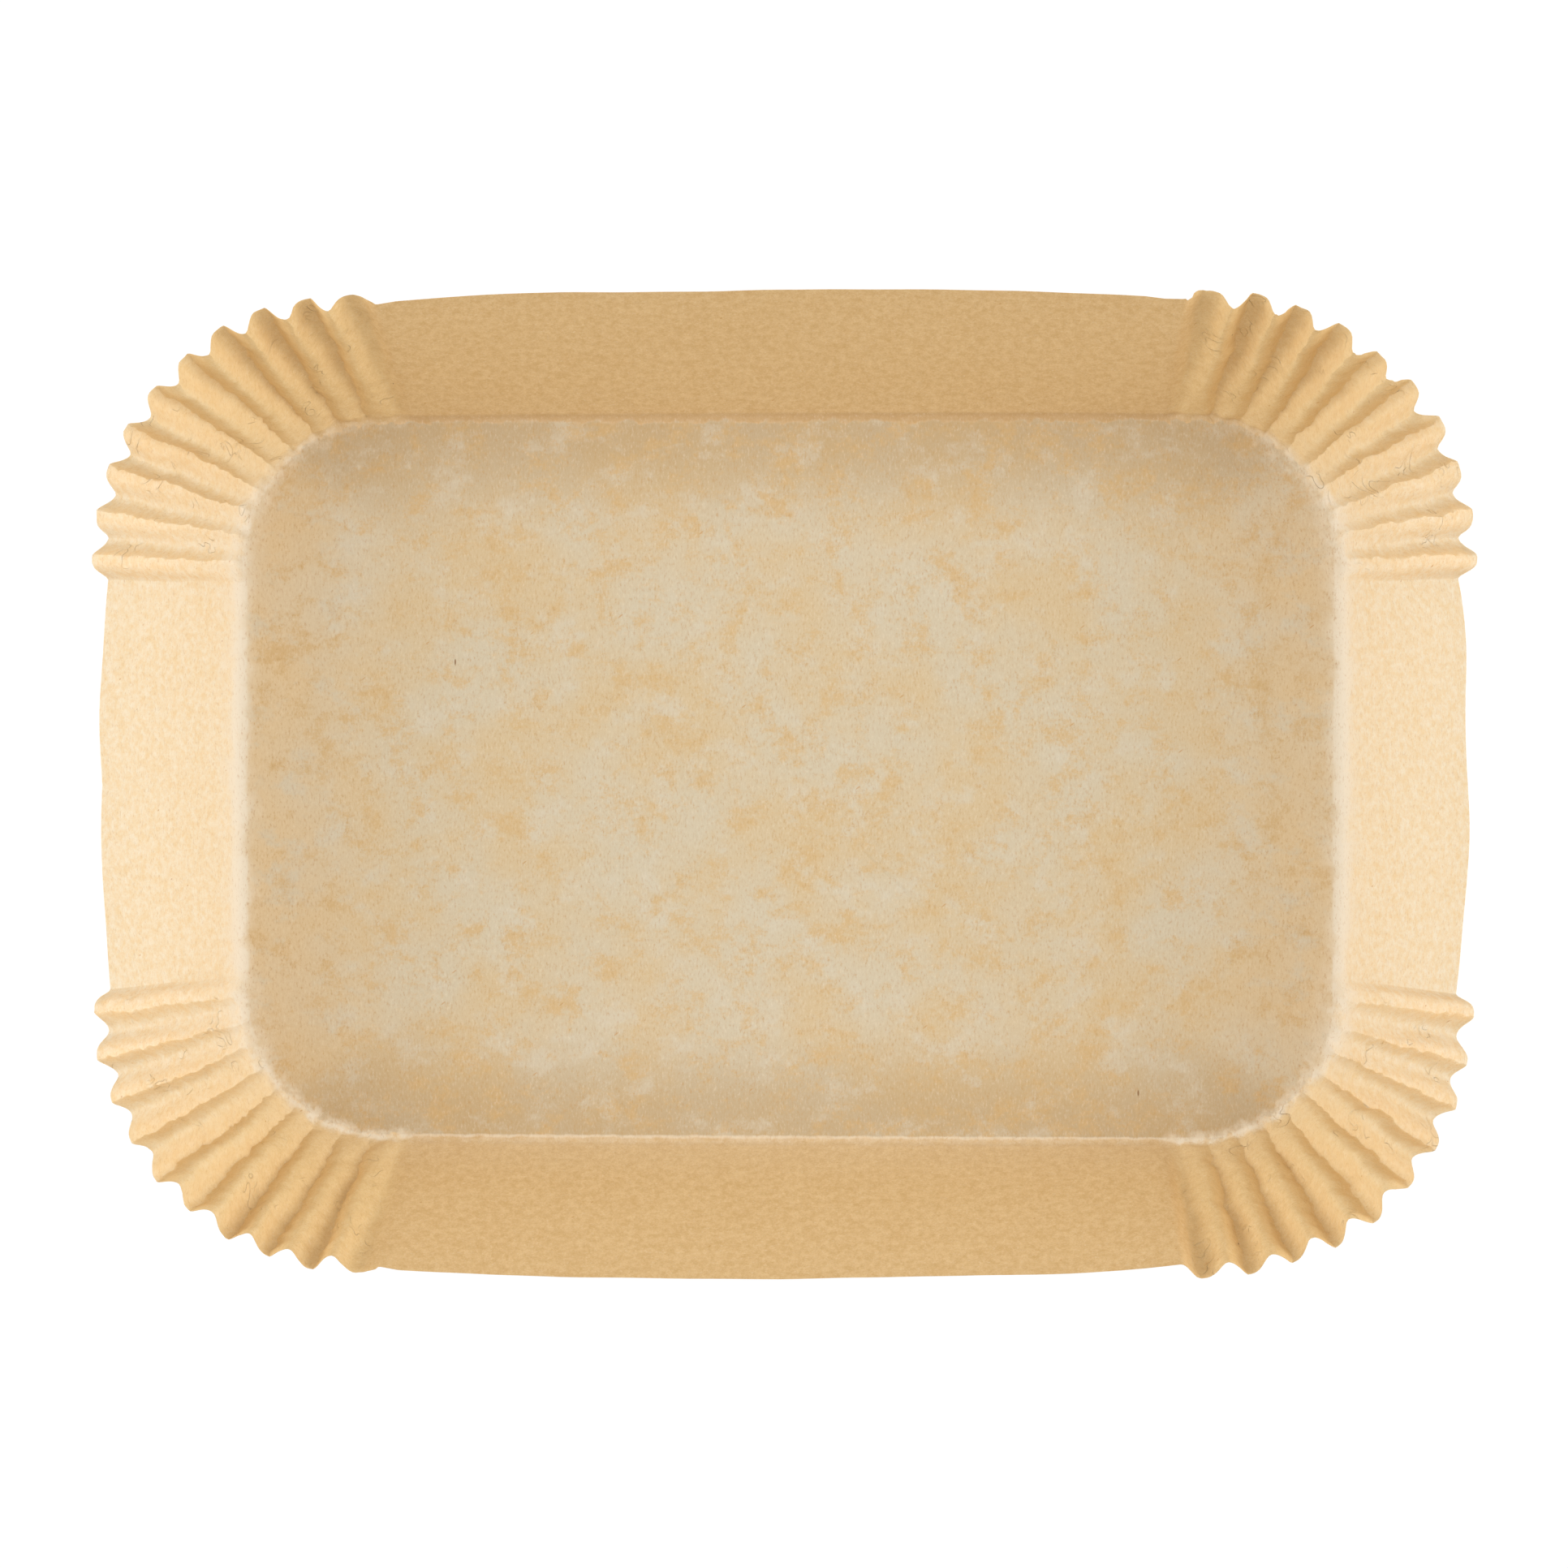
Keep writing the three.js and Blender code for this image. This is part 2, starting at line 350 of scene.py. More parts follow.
# %% The rows, from the middle of the floor to the rim
FLOOR_SHRINK = [0.2, 0.45, 0.68, 0.84, 0.93, 0.97, 0.988]
BEND_ROWS = 4
WALL_ROWS = 42
ROW_CROWDING = 1.15     # above 1 the rows of the wall are closer together at its foot

rows = [("floor", shrink) for shrink in FLOOR_SHRINK]
rows += [("bend", i / BEND_ROWS) for i in range(BEND_ROWS + 1)]
rows += [("wall", (i / WALL_ROWS) ** ROW_CROWDING) for i in range(1, WALL_ROWS + 1)]
print("rows:", len(rows), "cells:", len(rows) * len(lines))

# %% [markdown]
# ## Slips, crumples and nicks
# Paper that has been pressed and stacked is never quite flat. The floor rises and falls by a
# fraction of a millimetre, the plain walls have long soft waves, the paper just above the
# creases is crumpled, most of all where the flutes start, and the cut rim has small nicks.
# Each kind of unevenness reads its own part of one soft noise, picked by a seed.

# %% The floor and the plain walls swell
FLOOR_SWELL = 0.35 * MM
FLOOR_WAVE = 38 * MM
FLOOR_EDGE_DROP = 9     # how quickly the swell dies away at the floor's edge
WALL_SWELL = 0.45 * MM
LONG_WAVE = 34 * MM
SHORT_WAVE = 11 * MM
SHORT_WAVE_SHARE = 0.35


def rough(point, size, seed):
    """Soft noise between -1 and 1 whose bumps are about this size."""
    return noise.noise(Vector((point.x, point.y, point.z)) / size + Vector((seed, seed, seed)))


def floor_swell(point, shrink):
    height = 1 + rough(point, FLOOR_WAVE, seed=3.1)
    return FLOOR_SWELL * height * clamp((1 - shrink) * FLOOR_EDGE_DROP)


def wall_swell(point, up):
    long_waves = rough(point, LONG_WAVE, seed=8.4)
    short_waves = SHORT_WAVE_SHARE * rough(point, SHORT_WAVE, seed=5.2)
    return WALL_SWELL * (long_waves + short_waves) * up


# %% The pleats are dented, and the paper above the creases is crumpled
CRUMPLE = 0.65 * MM
CRUMPLE_HEIGHT = 2 * MM
CRUMPLE_GRAIN = 2.6 * MM
CRUMPLE_AT_ENDS = 0.3       # on the short walls, as a share of that in the corners
PLEAT_CRUSH = 0.3 * MM
BROAD_DENT = 5.5 * MM
SMALL_DENT = 2.8 * MM
SMALL_DENT_SHARE = 0.5
FADE_ON_SHORT_WALL = 6 * MM
FADE_ON_LONG_WALL = 3.5 * MM


def in_corner(line):
    """1 where the paper is fluted and 0 on the plain walls."""
    past_short_wall = (line.along - CORNER_Y) / FADE_ON_SHORT_WALL
    before_long_wall = (ARC_END - line.along) / FADE_ON_LONG_WALL
    return clamp(min(past_short_wall, before_long_wall) + 1)


def crumple(point, line, distance):
    """Crushed paper just above the crease, strongest where the flutes start."""
    near_crease = math.exp(-((distance - CRUMPLE_HEIGHT) / CRUMPLE_GRAIN) ** 2)
    strength = max(in_corner(line), CRUMPLE_AT_ENDS * math.cos(line.facing) ** 2)
    return CRUMPLE * strength * near_crease * rough(point, CRUMPLE_GRAIN, seed=1.7)


def pleat_crush(point, line):
    """Dents that the press leaves across the pleats."""
    broad = rough(point, BROAD_DENT, seed=2.9)
    small = SMALL_DENT_SHARE * rough(point, SMALL_DENT, seed=6.1)
    return PLEAT_CRUSH * in_corner(line) * (broad + small)


# %% Nicks in the cut rim
RAGGED_CUT = 0.5 * MM
TOOTH_WIDTH = 1.3 * MM
NICKS = [   # corner, and in mm: how far along the edge of the floor, half width, depth
    ("back_right", 84.4, 0.7, 0.8),
    ("back_right", 91.2, 0.6, 0.9),
    ("back_right", 93.4, 0.5, 0.5),
    ("back_right", 96.0, 1.2, 0.4),
    ("back_right", 79.6, 0.4, 0.5),
    ("back_right", 70.0, 0.4, 0.5),
    ("back_right", 64.8, 0.3, 0.6),
    ("front_left", 92.4, 0.4, 0.7),
    ("front_left", 67.0, 0.4, 0.4),
    ("front_right", 74.8, 0.4, 0.4),
    ("back_left", 92.6, 0.4, 0.5),
    ("back_left", 81.0, 0.3, 0.5),
]


def lost_at_rim(line):
    """How much paper is missing at the rim: a ragged cut over the flutes, and the nicks."""
    spot = Vector((line.along / TOOTH_WIDTH, line.corner.seed, 0.5))
    depth = RAGGED_CUT * abs(noise.noise(spot)) * in_corner(line)
    for corner_name, along, half_width, nick_depth in NICKS:
        if line.corner.name == corner_name and abs(line.along / MM - along) < half_width:
            depth = max(depth, nick_depth * MM)
    return depth


# %% A point of the sheet
FULL_STRAY_AT = 4 * MM      # up the paper, where the folds have left their line fully
FULL_DENTS_AT = 1 / 4       # of the way up the wall, where the dents have their full depth


def wall_point(line, distance):
    bend_length = line.bend_radius * BEND_ANGLE
    up = clamp((distance - bend_length) / (WALL_SLANT - bend_length))
    run, rise = wall_section(line.bend_radius, distance)
    spot = line.foot.lerp(line.top, run / line.rim_run)
    sideways = Vector((-line.outward.y, line.outward.x))
    spot += sideways * line.drift(up) * clamp(distance / FULL_STRAY_AT)
    spot = Vector((spot.x * line.corner.sign.x, spot.y * line.corner.sign.y))
    here = Vector((spot.x, spot.y, rise))
    push = line.push(distance / WALL_SLANT) + wall_swell(here, up) + crumple(here, line, distance)
    push += pleat_crush(here, line) * clamp(up / FULL_DENTS_AT)
    outward = Vector((line.outward.x * line.corner.sign.x, line.outward.y * line.corner.sign.y))
    spot += outward * push * math.cos(LEAN)
    return Vector((spot.x, spot.y, rise - push * math.sin(LEAN)))


def sheet_point(line, kind, share):
    """Where a row crosses a line, and how far up the paper that is from the crease."""
    bend_length = line.bend_radius * BEND_ANGLE
    if kind == "floor":
        foot = Vector((line.foot.x * line.corner.sign.x, line.foot.y * line.corner.sign.y, 0))
        spot = foot * share
        spot.z = floor_swell(spot, share)
        return spot, -(1 - share) * FLOOR_WIDTH / 2
    if kind == "bend":
        return wall_point(line, bend_length * share), bend_length * share
    distance = mix(bend_length, WALL_SLANT - lost_at_rim(line), share)
    return wall_point(line, distance), distance


# %% [markdown]
# ## Making the sheet
# The points become one mesh, with a patch that closes the middle of the floor. Five values
# are written on every point for the paint later on: how far up the paper it is, how much it
# faces a short end, whether it is fluted, whether it is the steep side of a flute, and how
# white its crease is crushed. Solidify then gives the sheet its thickness, so the edge at the
# rim is a real one.

# %% Points, cells and the middle of the floor
def crease_whiteness(line):
    """Blends the three whitenesses of a corner as the crease runs round it."""
    short, round_corner, long = line.corner.whiteness
    end = math.cos(line.facing) ** 2
    return short * end ** 2 + 2 * round_corner * end * (1 - end) + long * (1 - end) ** 2


def steepness(line):
    """1 just past a fold on its steep side, less towards the valley, 0 everywhere else."""
    if line.flank is None or line.top_crest > line.crest or line.flank == 0:
        return 0
    return 1 - line.flank ** 2


def make_sheet():
    mesh = bpy.data.meshes.new("liner_paper")
    points = []
    paint = {"up_paper": [], "towards_end": [], "pleated": [], "steep": [], "whiteness": []}
    for kind, share in rows:
        for line in lines:
            point, height = sheet_point(line, kind, share)
            points.append(point)
            paint["up_paper"].append(height / MM)
            paint["towards_end"].append(math.cos(line.facing) ** 4)
            paint["pleated"].append(in_corner(line))
            paint["steep"].append(steepness(line))
            paint["whiteness"].append(crease_whiteness(line))
    count = len(lines)
    cells = []
    for row in range(len(rows) - 1):
        low, high = row * count, (row + 1) * count
        for i in range(count):
            following = (i + 1) % count
            cells.append((low + i, high + i, high + following, low + following))
    cells.append(tuple(range(count)))
    mesh.from_pydata(points, [], cells)
    for name, values in paint.items():
        mesh.attributes.new(name, "FLOAT", "POINT").data.foreach_set("value", values)
    liner = bpy.data.objects.new("liner_paper", mesh)
    bpy.context.scene.collection.objects.link(liner)
    return liner


liner = make_sheet()
print("cells in the sheet:", len(liner.data.polygons))

# %% Thickness, and the sheet set down on its resting plane
SMOOTH_UP_TO = math.radians(35)     # a fold sharper than this keeps its edge


def give_thickness(sheet):
    bpy.ops.object.select_all(action="DESELECT")
    sheet.select_set(True)
    bpy.context.view_layer.objects.active = sheet
    bpy.ops.object.modifier_add(type="SOLIDIFY")
    solidify = sheet.modifiers[-1]
    solidify.thickness = PAPER_THICKNESS
    solidify.offset = 0
    bpy.ops.object.modifier_apply(modifier=solidify.name)
    bpy.ops.object.shade_smooth_by_angle(angle=SMOOTH_UP_TO)


def set_down(sheet):
    lowest = min(vertex.co.z for vertex in sheet.data.vertices)
    for vertex in sheet.data.vertices:
        vertex.co.z -= lowest


def size_of(sheet):
    axes = zip(*[vertex.co for vertex in sheet.data.vertices])
    return [round((max(axis) - min(axis)) / MM, 1) for axis in axes]


give_thickness(liner)
set_down(liner)
print("size of the sheet in mm:", size_of(liner))

# %% [markdown]
# ## Writing paint as sums
# A procedural finish is a chain of small sums: this noise, times that mask, plus a little
# grain. Wired by hand it is a web of nodes. The first class below wraps one socket and adds a
# Math node for each + - * and /, so a finish can be written as the sum that it is. The second
# one makes every other node, for the materials and for the surround alike.

# %% A value that varies over the paper, and the recipe that holds its nodes
class Value:
    """A socket that can be added to, taken from and multiplied."""

    def __init__(self, recipe, socket):
        self.recipe = recipe
        self.socket = socket

    def sum_node(self, operation, first, second):
        return self.recipe.add("ShaderNodeMath", {"operation": operation}, {0: first, 1: second})

    def __add__(self, other):
        return self.sum_node("ADD", self, other)

    __radd__ = __add__

    def __sub__(self, other):
        return self.sum_node("SUBTRACT", self, other)

    def __rsub__(self, other):
        return self.sum_node("SUBTRACT", other, self)

    def __mul__(self, other):
        return self.sum_node("MULTIPLY", self, other)

    __rmul__ = __mul__

    def __truediv__(self, other):
        return self.sum_node("DIVIDE", self, other)

    def __abs__(self):
        return self.sum_node("ABSOLUTE", self, 0.0)


class Recipe:
    """A material, or the surround, under construction."""

    def __init__(self, owner):
        owner.use_nodes = True
        self.owner = owner
        self.nodes = owner.node_tree.nodes
        self.links = owner.node_tree.links
        self.nodes.clear()

    def add(self, kind, settings=None, inputs=None, output=0):
        """One node: its settings first, then the values or links of its sockets."""
        node = self.nodes.new(kind)
        for key, value in (settings or {}).items():
            setattr(node, key, value)
        for key, value in (inputs or {}).items():
            if isinstance(value, Value):
                self.links.new(value.socket, node.inputs[key])
            else:
                node.inputs[key].default_value = value
        return Value(self, node.outputs[output])

    def between(self, value, low, high):
        """0 at low and 1 at high, with a soft start and end. High may be the smaller one."""
        inputs = {"Value": value, "From Min": low, "From Max": high}
        return self.add("ShaderNodeMapRange", {"interpolation_type": "SMOOTHSTEP"}, inputs)

    def blend(self, share, first, second):
        """The Mix node's colour sockets go by number, as their names are used twice."""
        settings = {"data_type": "RGBA", "clamp_factor": True}
        return self.add("ShaderNodeMix", settings, {0: share, 6: first, 7: second}, output=2)

    def noise(self, place, size_mm, detail=2.0, roughness=0.5, distortion=0.0):
        inputs = {"Vector": place, "Scale": 1 / size_mm, "Detail": detail,
                  "Roughness": roughness, "Distortion": distortion}
        return self.add("ShaderNodeTexNoise", {}, inputs)

    def stretched(self, place, x, y, z):
        """Above 1 a pattern is finer along that axis, below 1 it is longer."""
        return self.add("ShaderNodeVectorMath", {"operation": "MULTIPLY"}, {0: place, 1: (x, y, z)})

    def finish(self, surface, kind="ShaderNodeOutputMaterial"):
        end = self.nodes.new(kind)
        self.links.new(surface.socket, end.inputs["Surface"])
        return self.owner


def seen_colour(red, green, blue):
    """A colour given as it is read off a screen, 0 to 255, turned into the light it stands for."""
    def light(channel):
        share = channel / 255
        return share / 12.92 if share <= 0.04045 else ((share + 0.055) / 1.055) ** 2.4
    return (light(red), light(green), light(blue), 1.0)


# %% [markdown]
# ## The paper
# Greaseproof paper is beaten so fine that it is half see-through. Where the floor lies close
# on something it looks orange, and where a film of air is left under it, it looks grey and
# pale, so the floor is mottled. The walls stand free and are an even, warmer kraft. Bending
# crushes the fibres, and that leaves white lines at the creases: thin ones along the long
# walls and a broad soft band along the short ones. Light and shade are painted in as well.
# Painted shade darkens the floor along its long edges, the steep flanks of the flutes and the
# folds at the back. Painted light makes the floor lighter at its ends, the pleats lighter and
# the short walls paler. Every size in the paint is in millimetres on the sheet, because its
# place is measured in millimetres.

# %% Colours of the paper
FLOOR_COOL = seen_colour(219, 205, 177)
FLOOR_WARM = seen_colour(222, 198, 157)
FLOOR_CLOUD = seen_colour(222, 211, 188)
FLOOR_ORANGE = seen_colour(220, 185, 130)
# painted shade: the floor darker along its long edges, where the long walls shade it
FLOOR_PAINTED_EDGE_SHADE = seen_colour(190, 160, 114)
# painted light: the floor lighter at its short ends, where the bright short walls light it
FLOOR_PAINTED_END_LIGHT = seen_colour(246, 214, 166)
KRAFT_LONG_WALL = seen_colour(235, 203, 151)
KRAFT_LONG_WALL_DEEP = seen_colour(219, 181, 124)
# painted light: the short walls paler and less yellow than the long ones, where the side lamps fall
# on them
SHORT_WALL_PAINTED_LIGHT = seen_colour(251, 238, 213)
SHORT_WALL_PAINTED_LIGHT_DEEP = seen_colour(245, 218, 172)
# painted light: the pleats lighter, where the flutes shade one another
PLEAT_PAINTED_LIGHT = seen_colour(249, 218, 158)
# painted shade: the steep flanks of the flutes darker and deeper in colour, where they face away
# from the light
STEEP_FLANK_PAINTED_SHADE = seen_colour(226, 188, 124)
# painted shade: the bend at the back darker, where it faces the light
FOLD_PAINTED_SHADE = seen_colour(190, 150, 100)
CRUSHED_WHITE = seen_colour(247, 234, 211)
BARK_FLECK = seen_colour(140, 96, 52)
FIBRE_TAN = seen_colour(202, 156, 98)
FIBRE_ORANGE = seen_colour(204, 148, 82)
FIBRE_PALE = seen_colour(246, 232, 208)


# %% Masks that follow the sheet
LINE_HALF_WIDTH = 0.42      # of the white line along a long wall
WIDER_AT_ENDS = 3.2
WIDER_AT_FLUTES = 1.5
LINE_HEIGHT = 0.1           # where its middle lies, up the paper
HIGHER_AT_ENDS = 1.6
HALO_TOP = 16               # up the long walls, where their faint paleness ends
HAZE_TOP = 11               # up the short walls, where their pale clumps end
# the painted shade along the fold lies where a crease isn't white
FOLD_MIDDLE = 0.8           # of the darker fold line where a crease isn't white


class SheetMasks:
    """Where the floor ends, which parts are fluted, where the creases are white, and where the
    folds get painted shade.
    """

    def __init__(self, paper, place):
        self.up = self.reading(paper, "up_paper")
        self.end = self.reading(paper, "towards_end")
        self.pleated = self.reading(paper, "pleated")
        self.steep = self.reading(paper, "steep")
        self.whiteness = self.reading(paper, "whiteness")
        self.soft = paper.between(self.end, 0.35, 1.0)
        self.plain_side = (1 - self.soft) * (1 - self.pleated)
        self.edge = self.frayed_edge(paper, place)
        self.floor = paper.between(self.edge, 0.35 + 2.2 * self.soft, -0.2 - 0.6 * self.soft)
        patchy = paper.between(paper.noise(place, 2.4, detail=4, roughness=0.65), 0.36, 0.6)
        line = self.white_line(paper, patchy)
        self.crease = self.whiteness * (line + self.paleness_above(paper, place, patchy))
        self.painted_fold_shade = self.painted_shade_at_fold(paper)

    @staticmethod
    def reading(paper, name):
        return paper.add("ShaderNodeAttribute", {"attribute_name": name}, output="Fac")

    def frayed_edge(self, paper, place):
        """The distance up the paper, made uneven so that no crease is a ruled line."""
        small = paper.noise(place, 3.4, detail=4, roughness=0.6) - 0.5
        large = paper.noise(place, 9, detail=5, roughness=0.6) - 0.5
        small_sway = small * (0.7 + 2.4 * self.pleated + 2.6 * (1 - self.whiteness))
        return self.up + small_sway + 5 * large * self.soft * (1 - self.pleated)

    def white_line(self, paper, patchy):
        """The crushed line itself: firm at the sides, broken in the corners, broad at the ends."""
        middle = LINE_HEIGHT + HIGHER_AT_ENDS * self.soft
        half_width = LINE_HALF_WIDTH + WIDER_AT_ENDS * self.soft + WIDER_AT_FLUTES * self.pleated
        band = paper.between(abs(self.edge - middle) / half_width, 1.0, 0.15)
        broken = 1 - 0.7 * self.pleated + 0.7 * patchy * self.pleated
        return band * broken * (0.8 - 0.42 * self.plain_side)

    def paleness_above(self, paper, place, patchy):
        """It fades up the wall: faint along the long walls, a haze in clumps at the ends."""
        above = paper.between(self.up, -0.3, 0.1)
        near_line = paper.between(self.up, 3.6, 0.2) * patchy
        halo = above * (near_line + 0.6 * paper.between(self.up, HALO_TOP, 0.2))
        clumps = paper.between(paper.noise(place, 5, detail=6), 0.42, 0.58)
        haze = above * paper.between(self.up, HAZE_TOP, 3) * (0.15 + 0.85 * clumps)
        return 0.2 * halo * (1 - self.soft) + 0.6 * haze * self.soft

    def painted_shade_at_fold(self, paper):
        """Painted shade along the fold where the crease isn't white, strongest at the back, where
        the bend faces the light.
        """
        near_fold = paper.between(abs(self.up - FOLD_MIDDLE), 1.8, 0.4)
        return near_fold * (1 - self.whiteness + 0.3 * self.plain_side)


# %% The mottled floor
BROAD_TONE = 24             # sizes of the mottle, from the broadest to the finest
CLOUD = 8.5
PATCH = 5.5
EDGE_TINT_REACH = 24        # in from the crease


def floor_colour(paper, place, masks):
    """The painted shade along the long edges goes on twice, under the mottle and thinly over it,
    and the ends get painted light.
    """
    broad = paper.between(paper.noise(place, BROAD_TONE, detail=3), 0.35, 0.65)
    clouds = paper.noise(paper.stretched(place, 0.8, 1, 1), CLOUD, detail=8, roughness=0.7)
    patches = paper.noise(paper.stretched(place, 0.85, 1, 7), PATCH, detail=8, roughness=0.76)
    colour = paper.blend(broad, FLOOR_COOL, FLOOR_WARM)
    near_edge = paper.between(masks.up, -EDGE_TINT_REACH, -2)
    # painted shade along the long edges of the floor, where the long walls shade it
    painted_edge_shade = near_edge * paper.between(masks.end, 0.4, 0.0)
    colour = paper.blend(0.5 * painted_edge_shade, colour, FLOOR_PAINTED_EDGE_SHADE)
    # painted light at the short ends of the floor, where the bright short walls light it
    colour = paper.blend(0.4 * near_edge * masks.end, colour, FLOOR_PAINTED_END_LIGHT)
    colour = paper.blend(0.7 * paper.between(clouds, 0.49, 0.66), colour, FLOOR_CLOUD)
    colour = paper.blend(0.8 * paper.between(patches, 0.47, 0.66), colour, FLOOR_ORANGE)
    return paper.blend(0.15 * painted_edge_shade, colour, FLOOR_PAINTED_EDGE_SHADE)


# %% The warmer walls
WALL_GRAIN = 1.6


def wall_colour(paper, place, masks):
    """The long walls, the pleats and the short walls run into one another round the corners, with
    painted light and painted shade on them.
    """
    depth = paper.between(paper.noise(place, WALL_GRAIN, detail=5, roughness=0.8), 0.3, 0.7)
    long_wall = paper.blend(depth, KRAFT_LONG_WALL, KRAFT_LONG_WALL_DEEP)
    # the short walls in painted light, paler where the side lamps fall on them
    short_wall = paper.blend(depth, SHORT_WALL_PAINTED_LIGHT, SHORT_WALL_PAINTED_LIGHT_DEEP)
    # painted light on the pleats, most towards the short walls, where the flutes shade one another
    painted_pleat_light_share = paper.between(masks.end, -0.35, 0.35)
    with_pleat_light = paper.blend(0.65 * masks.pleated * painted_pleat_light_share, long_wall, PLEAT_PAINTED_LIGHT)
    colour = paper.blend(masks.end, with_pleat_light, short_wall)
    # painted shade on the steep flanks of the flutes
    colour = paper.blend(0.32 * masks.steep, colour, STEEP_FLANK_PAINTED_SHADE)
    # painted shade along the fold at the back, where the bend faces the light
    return paper.blend(0.5 * masks.painted_fold_shade, colour, FOLD_PAINTED_SHADE)


# %% Flecks of bark and loose fibres
def flecks(paper, place, size_mm, radius, share_of_cells):
    """Short dashes in a share of a pattern's cells, drawn by each cell's own chance colour."""
    distance = paper.add("ShaderNodeTexVoronoi", {}, {"Vector": place, "Scale": 1 / size_mm})
    cell_colour = Value(paper, distance.socket.node.outputs["Color"])
    chance = paper.add("ShaderNodeSeparateColor", {}, {"Color": cell_colour})
    chosen = paper.between(chance, share_of_cells, share_of_cells - 0.02)
    return paper.between(distance, radius, radius * 0.5) * chosen


# %% Fine fibres of the sheet
FIBRE_SIZE = 0.5


def fibres(paper, place):
    """Fine marks, dark and pale, long across the tray and short along it and up the walls."""
    grain = paper.noise(paper.stretched(place, 1.3, 0.5, 1.6), FIBRE_SIZE, detail=3, roughness=0.7)
    return paper.between(grain, 0.52, 0.74), paper.between(grain, 0.48, 0.26)


# %% Relief: grain, crushed pleats and the odd curled wrinkle
GRAIN_HEIGHT = 0.04         # heights in millimetres too
DENT_HEIGHT = 0.08
HIGHER_IN_PLEATS = 0.24
WRINKLE_HEIGHT = 0.15


def curled_wrinkles(paper, place, masks):
    """Thin curls where a twisted noise crosses its middle, on a few spots of the flutes only."""
    curls = paper.noise(place, 5, detail=1, distortion=0.8)
    chosen = paper.between(paper.noise(place, 9), 0.54, 0.64)
    on_flutes = masks.pleated * (1 - masks.floor)
    return paper.between(abs(curls - 0.5), 0.018, 0.0) * chosen * on_flutes


def paper_relief(paper, place, masks):
    grain = paper.noise(paper.stretched(place, 1, 0.6, 1.4), 0.7, detail=3, roughness=0.6)
    dents = paper.noise(place, 3.2, detail=4, roughness=0.55)
    relief = GRAIN_HEIGHT * grain + dents * (DENT_HEIGHT + HIGHER_IN_PLEATS * masks.pleated)
    return relief + WRINKLE_HEIGHT * curled_wrinkles(paper, place, masks)


# %% The finished paper
LOOSE_FIBRE_TURN = 0.9      # radians between the loose fibres and the flecks of bark


def with_marks(paper, place, masks, colour):
    """The colour with its fine fibres, a few loose ones and the flecks of bark."""
    dark_fibres, pale_fibres = fibres(paper, place)
    colour = paper.blend((0.35 + 0.2 * masks.floor) * dark_fibres, colour, FIBRE_TAN)
    colour = paper.blend(0.3 * pale_fibres, colour, FIBRE_PALE)
    turned = {"Vector": place, "Angle": LOOSE_FIBRE_TURN}
    leaning = paper.stretched(paper.add("ShaderNodeVectorRotate", {}, turned), 1.7, 0.4, 1)
    loose = flecks(paper, leaning, size_mm=5, radius=0.06, share_of_cells=0.5)
    colour = paper.blend(0.55 * loose, colour, FIBRE_ORANGE)
    upright = paper.stretched(place, 1.6, 0.45, 1)
    bark = flecks(paper, upright, size_mm=14, radius=0.026, share_of_cells=0.4)
    return paper.blend(0.85 * bark, colour, BARK_FLECK)


def make_paper():
    paper = Recipe(bpy.data.materials.new("kraft_greaseproof"))
    where = paper.add("ShaderNodeTexCoord", output="Object")
    place = paper.stretched(where, 1 / MM, 1 / MM, 1 / MM)
    masks = SheetMasks(paper, place)

    walls = wall_colour(paper, place, masks)
    colour = paper.blend(masks.floor, walls, floor_colour(paper, place, masks))
    colour = paper.blend(masks.crease, colour, CRUSHED_WHITE)
    relief = {"Height": paper_relief(paper, place, masks), "Distance": 1 * MM, "Strength": 1.0}
    surface = paper.add("ShaderNodeBsdfPrincipled", {}, {
        "Base Color": with_marks(paper, place, masks, colour),
        "Roughness": 0.58 + 0.18 * paper.noise(place, 2),
        "Normal": paper.add("ShaderNodeBump", {}, relief),
        "Specular IOR Level": 0.35,
    })
    return paper.finish(surface)


liner.data.materials.append(make_paper())
print("paper nodes:", len(liner.data.materials[0].node_tree.nodes))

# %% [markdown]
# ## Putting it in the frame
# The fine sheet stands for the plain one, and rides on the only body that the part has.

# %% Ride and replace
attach(liner, "root")
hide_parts("liner_sheet")

# %% [markdown]
# ## The table
# The liner stands on a plain pale table. The camera sees it close to white, while the light
# that it throws back on the paper is that of an ordinary pale surface, and the liner's own
# shadow still shows on it.

# %% A pale table that keeps the shadow
TABLE_SIZE = 6.0
TABLE_GAP = 0.02 * MM
TABLE_SHARE_OF_LIGHT = 0.16     # how much of what is seen is its lit paint and not plain white
TABLE_GLOW = 1.1
TABLE_PAINT = (0.8, 0.8, 0.8, 1)
WHITE = (1, 1, 1, 1)


def pale_table_top():
    top = Recipe(bpy.data.materials.new("pale_table"))
    seen = top.add("ShaderNodeLightPath", output="Is Camera Ray")
    rays = seen.socket.node.outputs
    seen = seen + Value(top, rays["Is Glossy Ray"]) + Value(top, rays["Is Transmission Ray"])
    lit = top.add("ShaderNodeBsdfDiffuse", {}, {"Color": TABLE_PAINT})
    plain = top.add("ShaderNodeEmission", {}, {"Color": WHITE, "Strength": TABLE_GLOW})
    share = seen * (1 - TABLE_SHARE_OF_LIGHT)
    return top.finish(top.add("ShaderNodeMixShader", {}, {0: share, 1: lit, 2: plain}))


def make_table():
    bpy.ops.object.select_all(action="DESELECT")
    bpy.ops.mesh.primitive_plane_add(size=TABLE_SIZE, location=(0, 0, -TABLE_GAP))
    table = bpy.context.object
    table.name = "table"
    table.data.materials.append(pale_table_top())


make_table()

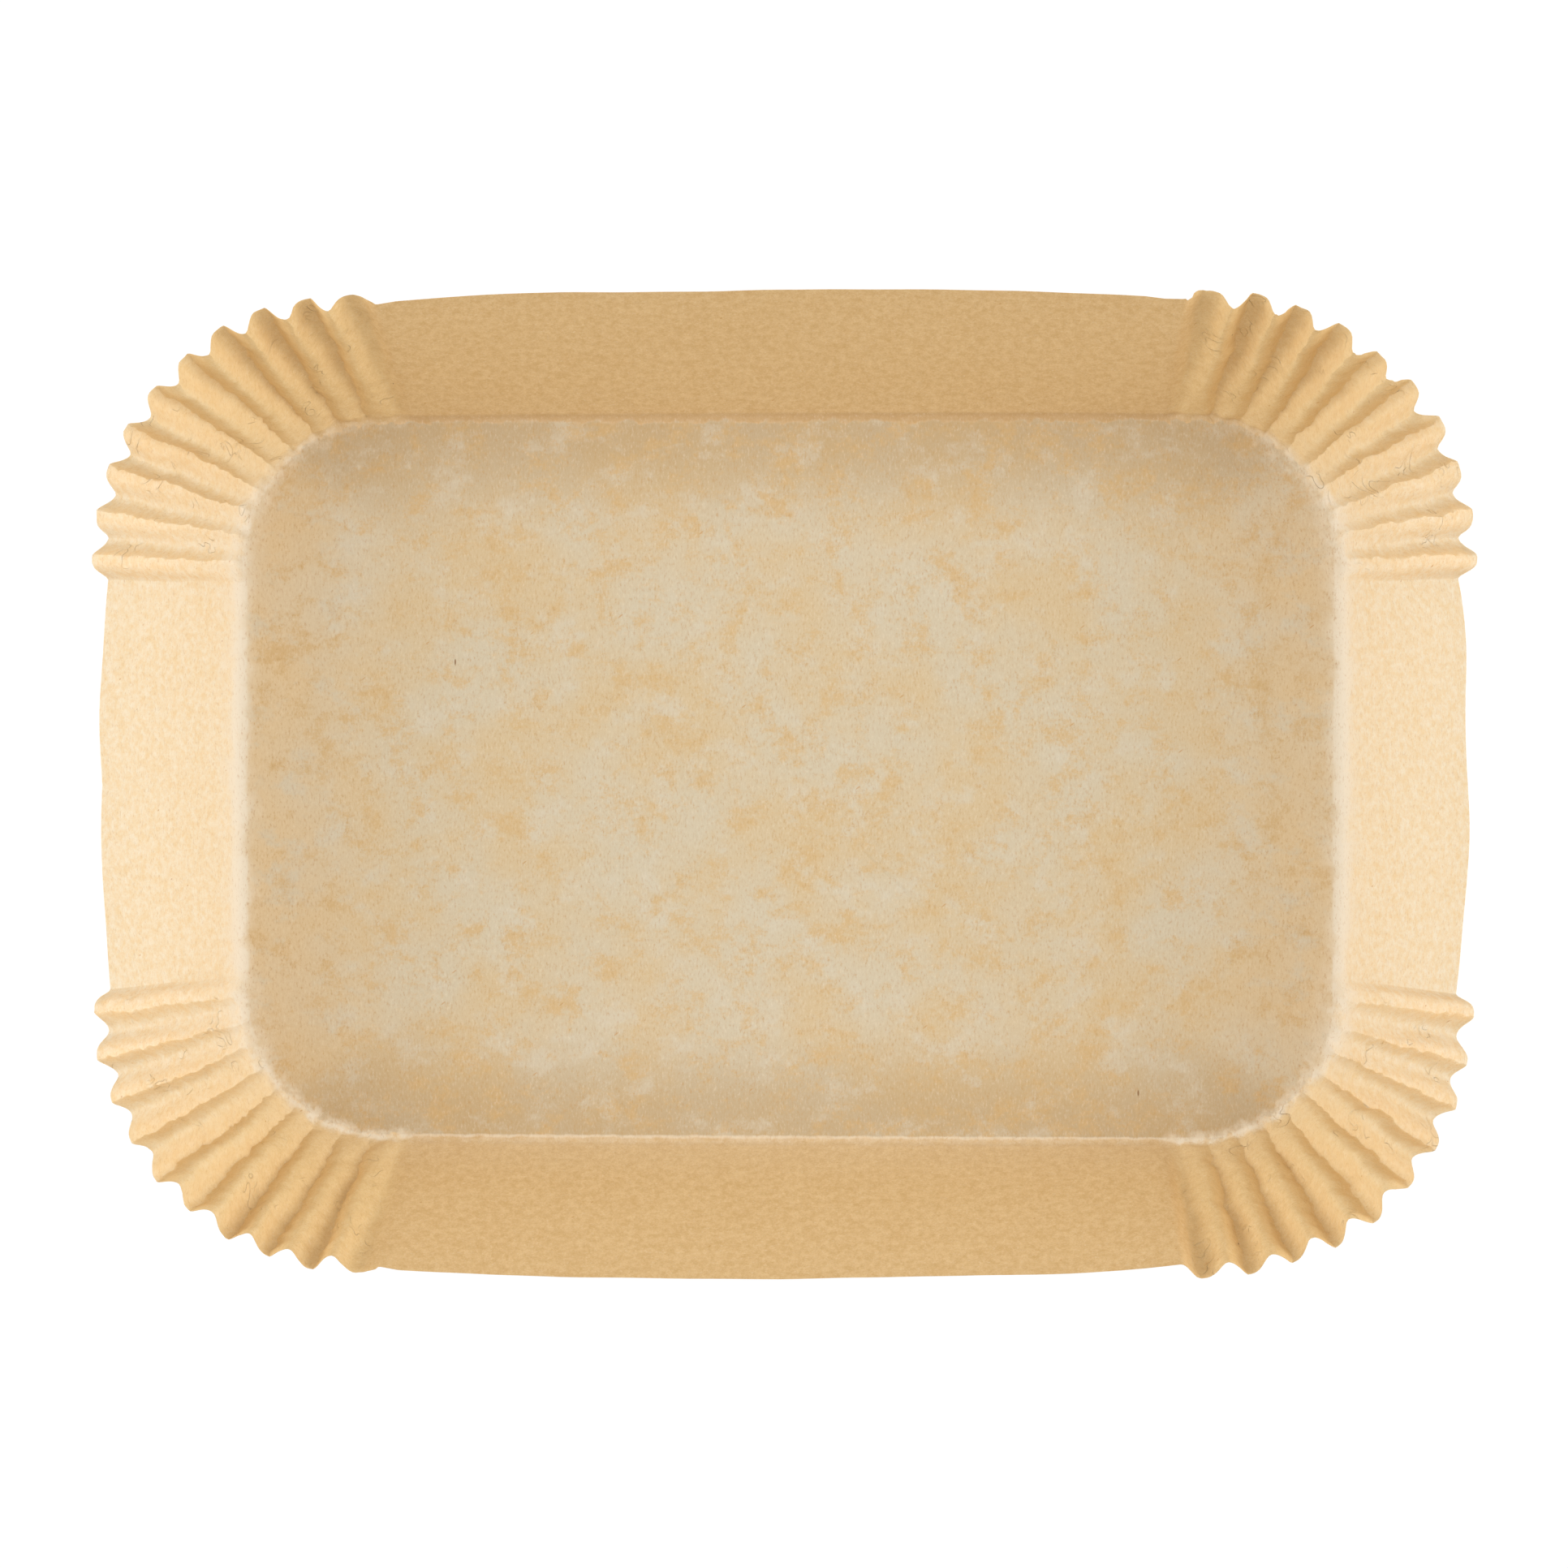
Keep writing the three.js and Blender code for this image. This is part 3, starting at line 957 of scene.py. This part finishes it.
# %% [markdown]
# ## Light
# Two large soft lights stand low at the left and the right, so the walls at the short ends
# are the bright ones and each flute has a light and a dark flank. Two weaker ones hang high
# over the table, so that the floor stays light right up to its creases, and a pale surround
# fills the rest.

# %% Four soft lights and a pale surround
LIGHT_SIZE = 0.8
SURROUND = 0.53


def soft_light(name, place, power):
    bpy.ops.object.light_add(type="AREA", location=place)
    light = bpy.context.object
    light.name = name
    light.data.shape = "SQUARE"
    light.data.size = LIGHT_SIZE
    light.data.energy = power
    light.rotation_euler = light.location.to_track_quat("Z", "Y").to_euler()


soft_light("left_light", (-1.0, 0.08, 0.45), 5.9)
soft_light("right_light", (1.0, 0.08, 0.45), 6.5)
soft_light("upper_left_light", (-0.5, 0, 1.0), 0.9)
soft_light("upper_right_light", (0.5, 0, 1.0), 0.9)


def make_surround():
    """White to the camera, and weaker as a light."""
    room = Recipe(bpy.data.worlds.new("pale_room"))
    seen = room.add("ShaderNodeLightPath", output="Is Camera Ray")
    inputs = {"Value": seen, "To Min": SURROUND, "To Max": 1.0}
    strength = room.add("ShaderNodeMapRange", {}, inputs)
    glow = room.add("ShaderNodeBackground", {}, {"Color": WHITE, "Strength": strength})
    bpy.context.scene.world = room.finish(glow, "ShaderNodeOutputWorld")


make_surround()

# %% [markdown]
# ## The camera
# It looks down from more than three quarters of a metre up. It stands a little to the right
# and to the back of the middle, which is why the left and the front wall show slightly wider.

# %% Looking down
CAMERA_PLACE = Vector((0.037, 0.0229, 0.8394))
CAMERA_AIM = Vector((-0.0007, -0.0008, 0.0))
VIEW_WIDTH = 0.31715     # width seen across the picture, at the height of the table

camera_data = bpy.data.cameras.new("camera")
camera = bpy.data.objects.new("camera", camera_data)
bpy.context.scene.collection.objects.link(camera)
camera.location = CAMERA_PLACE
backwards = (CAMERA_PLACE - CAMERA_AIM).normalized()
camera.rotation_euler = (-math.asin(backwards.y), math.atan2(backwards.x, backwards.z), 0)
camera_data.lens = camera_data.sensor_width * (CAMERA_PLACE - CAMERA_AIM).length / VIEW_WIDTH
bpy.context.scene.camera = camera
bpy.context.scene.view_settings.view_transform = "Standard"
